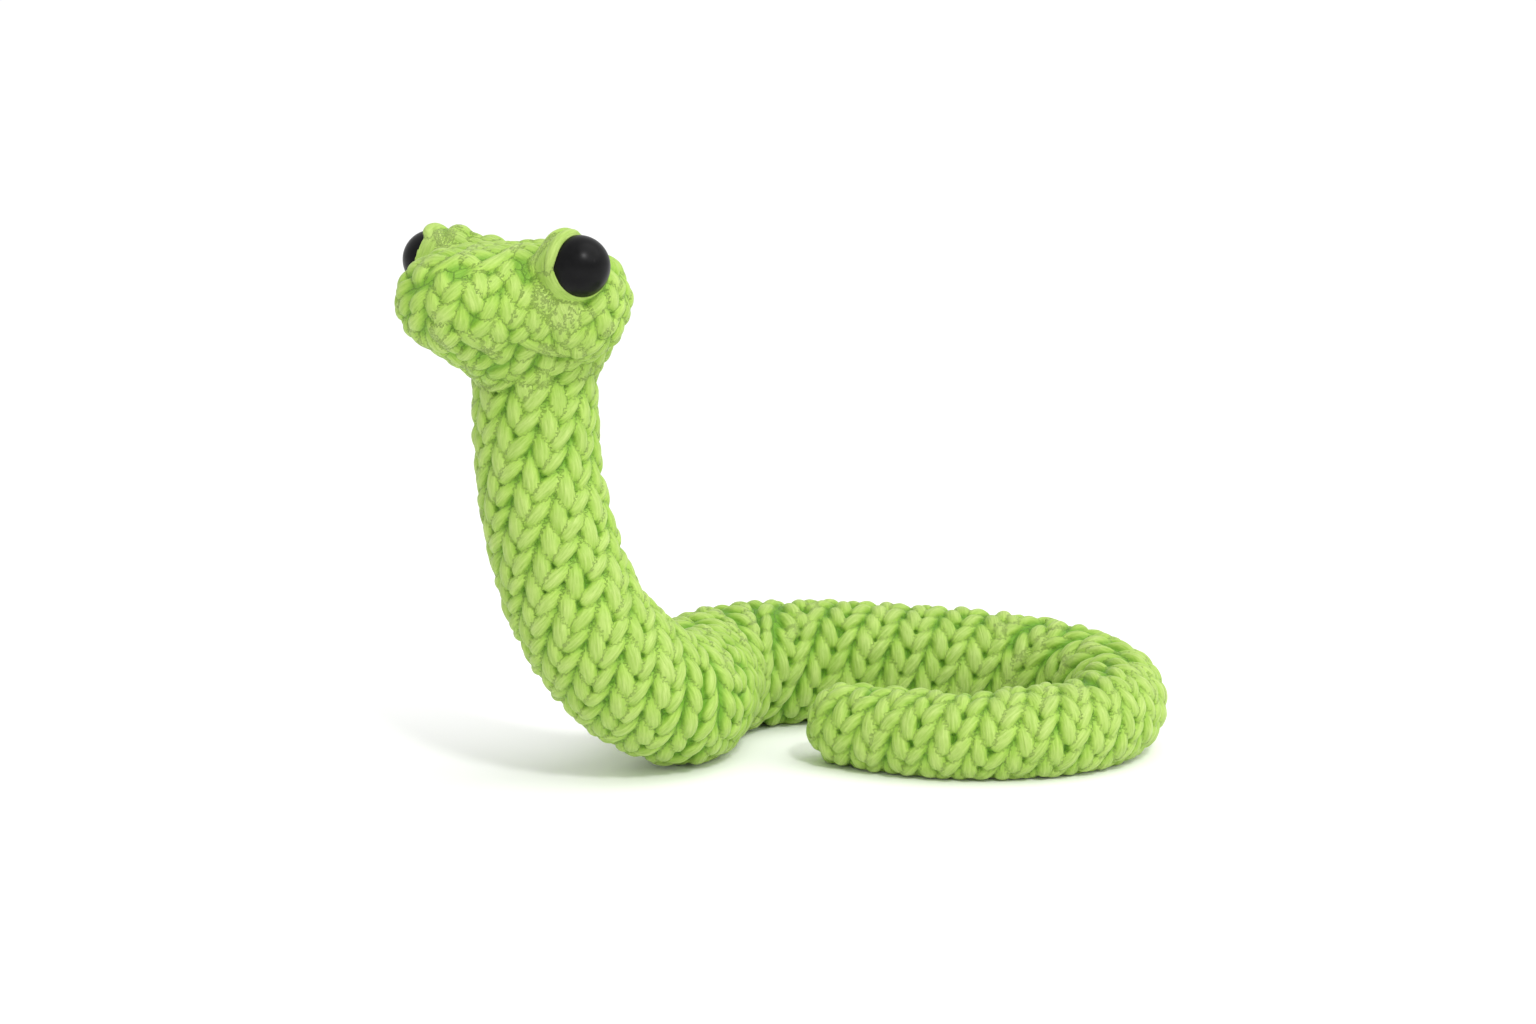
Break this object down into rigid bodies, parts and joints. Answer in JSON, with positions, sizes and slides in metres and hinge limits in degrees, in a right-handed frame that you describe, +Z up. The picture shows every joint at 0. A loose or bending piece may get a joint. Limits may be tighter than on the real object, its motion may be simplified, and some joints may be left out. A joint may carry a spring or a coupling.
{
  "type": "posable knitted toy snake",
  "caption": "Chunky knitted snake resting on a curled tail with its neck raised, wide flat head, bead eyes; a ball-and-socket spine inside lets it hold a pose",
  "frame": {"origin": "middle of the flat where the base length of the body rests on the floor", "axes": "+Z up; +X along the floor from the raised neck towards the far turn of the tail; +Y away from the side the curled tail tip lies on; the head faces between -X and -Y"},
  "size_m": [0.145, 0.0911, 0.1034],
  "materials": {
    "yarn": "thick soft lime-green yarn, knitted, matte",
    "fibre": "loose white filling fibre",
    "spine_plastic": "natural moulded acetal",
    "bead": "satin black"
  },
  "bodies": {
    "base": {"skin_base": "yarn", "fill_base": "fibre", "link_base": "spine_plastic"},
    "tail_01": {"skin_t01": "yarn", "fill_t01": "fibre", "link_t01": "spine_plastic"},
    "tail_02": {"skin_t02": "yarn", "fill_t02": "fibre", "link_t02": "spine_plastic"},
    "tail_03": {"skin_t03": "yarn", "fill_t03": "fibre", "link_t03": "spine_plastic"},
    "tail_04": {"skin_t04": "yarn", "fill_t04": "fibre", "link_t04": "spine_plastic"},
    "tail_05": {"skin_t05": "yarn", "fill_t05": "fibre", "link_t05": "spine_plastic"},
    "tail_06": {"skin_t06": "yarn", "fill_t06": "fibre", "link_t06": "spine_plastic"},
    "tail_07": {"skin_t07": "yarn", "fill_t07": "fibre", "link_t07": "spine_plastic"},
    "tail_08": {"skin_t08": "yarn", "fill_t08": "fibre", "link_t08": "spine_plastic"},
    "tail_09": {"skin_t09": "yarn", "fill_t09": "fibre", "link_t09": "spine_plastic"},
    "tail_10": {"skin_t10": "yarn", "fill_t10": "fibre", "link_t10": "spine_plastic"},
    "tail_11": {"skin_t11": "yarn", "fill_t11": "fibre", "link_t11": "spine_plastic"},
    "neck_1": {"skin_n1": "yarn", "fill_n1": "fibre", "link_n1": "spine_plastic"},
    "neck_2": {"skin_n2": "yarn", "fill_n2": "fibre", "link_n2": "spine_plastic"},
    "neck_3": {"skin_n3": "yarn", "fill_n3": "fibre", "link_n3": "spine_plastic"},
    "neck_4": {"skin_n4": "yarn", "fill_n4": "fibre", "link_n4": "spine_plastic"},
    "neck_5": {"skin_n5": "yarn", "fill_n5": "fibre", "link_n5": "spine_plastic"},
    "head": {"head_skin": "yarn", "head_fill": "fibre", "head_link": "spine_plastic", "eye_left": "bead", "eye_right": "bead", "washer_left": "spine_plastic", "washer_right": "spine_plastic"}
  },
  "joints": [
    {"name": "coil_01", "type": "hinge", "parent": "base", "child": "tail_01", "pos_m": [0.00084, 0.00796, 0.0124], "axis": [0, 0, -1], "range_deg": [-32, 2]},
    {"name": "coil_02", "type": "hinge", "parent": "tail_01", "child": "tail_02", "pos_m": [0.00835, 0.02208, 0.0123], "axis": [0, 0, -1], "range_deg": [-45, 2]},
    {"name": "coil_03", "type": "hinge", "parent": "tail_02", "child": "tail_03", "pos_m": [0.02285, 0.02884, 0.01202], "axis": [0, 0, -1], "range_deg": [-33, 2]},
    {"name": "coil_04", "type": "hinge", "parent": "tail_03", "child": "tail_04", "pos_m": [0.03883, 0.0294, 0.01157], "axis": [0, 0, -1], "range_deg": [-10, 2]},
    {"name": "coil_05", "type": "hinge", "parent": "tail_04", "child": "tail_05", "pos_m": [0.05481, 0.02996, 0.011], "axis": [0, 0, -1], "range_deg": [-21, 2]},
    {"name": "coil_06", "type": "hinge", "parent": "tail_05", "child": "tail_06", "pos_m": [0.0706, 0.02746, 0.01034], "axis": [0, 0, -1], "range_deg": [-45, 2]},
    {"name": "coil_07", "type": "hinge", "parent": "tail_06", "child": "tail_07", "pos_m": [0.0817, 0.01596, 0.00966], "axis": [0, 0, -1], "range_deg": [-45, 2]},
    {"name": "coil_08", "type": "hinge", "parent": "tail_07", "child": "tail_08", "pos_m": [0.08338, 0.00006, 0.009], "axis": [0, 0, -1], "range_deg": [-45, 2]},
    {"name": "coil_09", "type": "hinge", "parent": "tail_08", "child": "tail_09", "pos_m": [0.0749, -0.0135, 0.00843], "axis": [0, 0, -1], "range_deg": [-45, 3]},
    {"name": "coil_10", "type": "hinge", "parent": "tail_09", "child": "tail_10", "pos_m": [0.05997, -0.01923, 0.00798], "axis": [0, 0, -1], "range_deg": [-36, 4]},
    {"name": "coil_11", "type": "hinge", "parent": "tail_10", "child": "tail_11", "pos_m": [0.04403, -0.01784, 0.0077], "axis": [0, 0, -1], "range_deg": [-37, 8]},
    {"name": "rise_1", "type": "hinge", "parent": "base", "child": "neck_1", "pos_m": [-0.00084, -0.00796, 0.0124], "axis": [-0.7986, 0.6018, 0], "range_deg": [-12, 5]},
    {"name": "rise_2", "type": "hinge", "parent": "neck_1", "child": "neck_2", "pos_m": [-0.00976, -0.0198, 0.01839], "axis": [-0.4067, 0.9135, 0], "range_deg": [-18, 6]},
    {"name": "rise_3", "type": "hinge", "parent": "neck_2", "child": "neck_3", "pos_m": [-0.01935, -0.02407, 0.03047], "axis": [0, 1, 0], "range_deg": [-20, 15]},
    {"name": "neck_lean", "type": "hinge", "parent": "neck_3", "child": "neck_4", "pos_m": [-0.02483, -0.02407, 0.0455], "axis": [-1, 0, 0], "range_deg": [-20, 20]},
    {"name": "head_turn", "type": "hinge", "parent": "neck_4", "child": "neck_5", "pos_m": [-0.02733, -0.02407, 0.06131], "axis": [0, 0, 1], "range_deg": [-35, 35]},
    {"name": "head_nod", "type": "hinge", "parent": "neck_5", "child": "head", "pos_m": [-0.02733, -0.02407, 0.07731], "axis": [0.766, -0.6428, 0], "range_deg": [-20, 20]}
  ]
}
